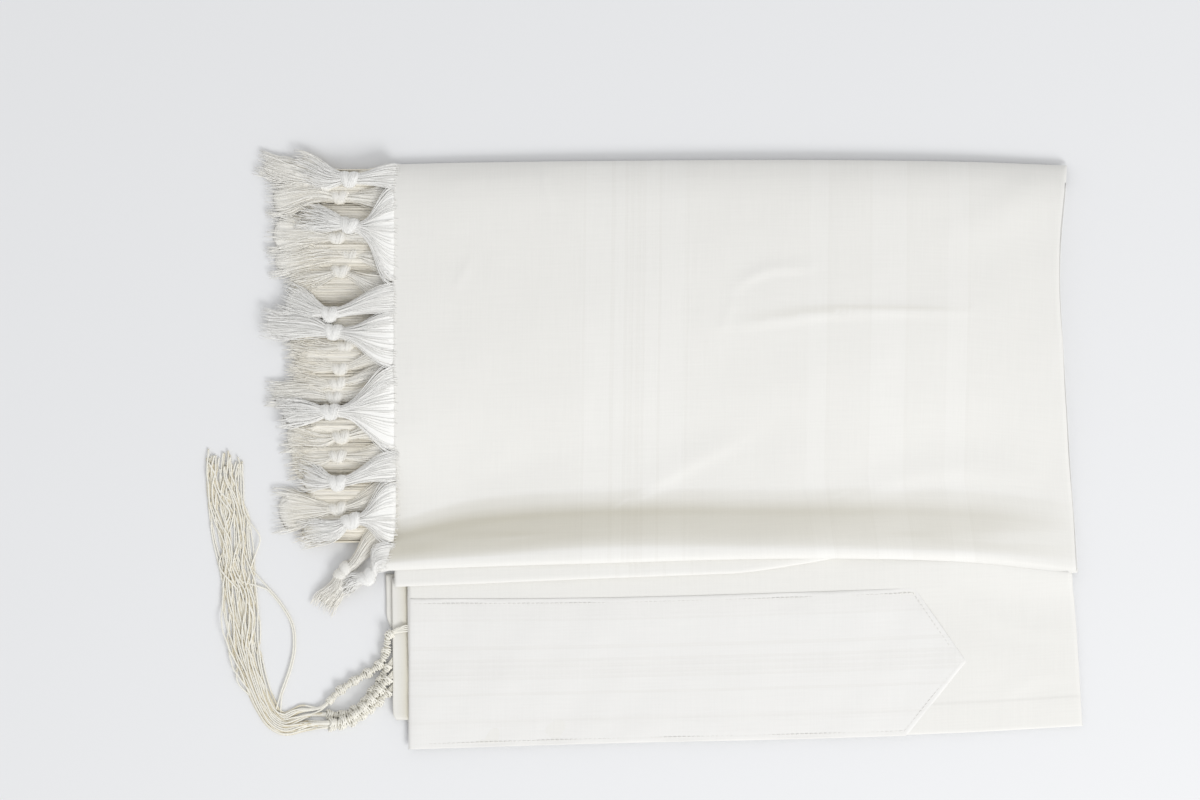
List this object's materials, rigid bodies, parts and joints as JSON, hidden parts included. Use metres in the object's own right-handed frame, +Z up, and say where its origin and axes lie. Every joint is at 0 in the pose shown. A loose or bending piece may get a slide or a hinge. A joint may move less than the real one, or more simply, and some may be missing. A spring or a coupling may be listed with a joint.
{
  "type": "folded tallit prayer shawl",
  "caption": "Striped prayer shawl folded into a flat stack, with a pointed neckband, knotted end fringes and wound corner tassels lying beside it.",
  "frame": {"origin": "middle of the underside of the folded shawl with its fringes, on the surface it lies on", "axes": "+Z up; +X along the neckband, away from the fringed ends; +Y from the neckband side towards the rear fold"},
  "size_m": [0.6147, 0.422, 0.0168],
  "materials": {
    "cloth": "fine wool weave with satin self stripes",
    "neckband": "satin striped weave",
    "fringe_yarn": "knotted wool yarn",
    "tzitzit_yarn": "plied wool string"
  },
  "bodies": {
    "root": {"shawl_hidden_layers": "cloth", "shawl_top_panel": "cloth", "shawl_neck_panel": "cloth", "shawl_second_fold": "cloth", "shawl_corner_upper": "cloth", "shawl_corner_lower": "cloth", "atarah_neckband": "neckband", "fringe_upper": "fringe_yarn", "fringe_lower": "fringe_yarn", "tzitzit_cord_rear": "tzitzit_yarn", "tzitzit_cord_middle": "tzitzit_yarn", "tzitzit_cord_upper": "tzitzit_yarn", "tzitzit_cord_front": "tzitzit_yarn", "tzitzit_strings": "tzitzit_yarn", "tzitzit_stray_loop": "tzitzit_yarn"}
  },
  "joints": []
}
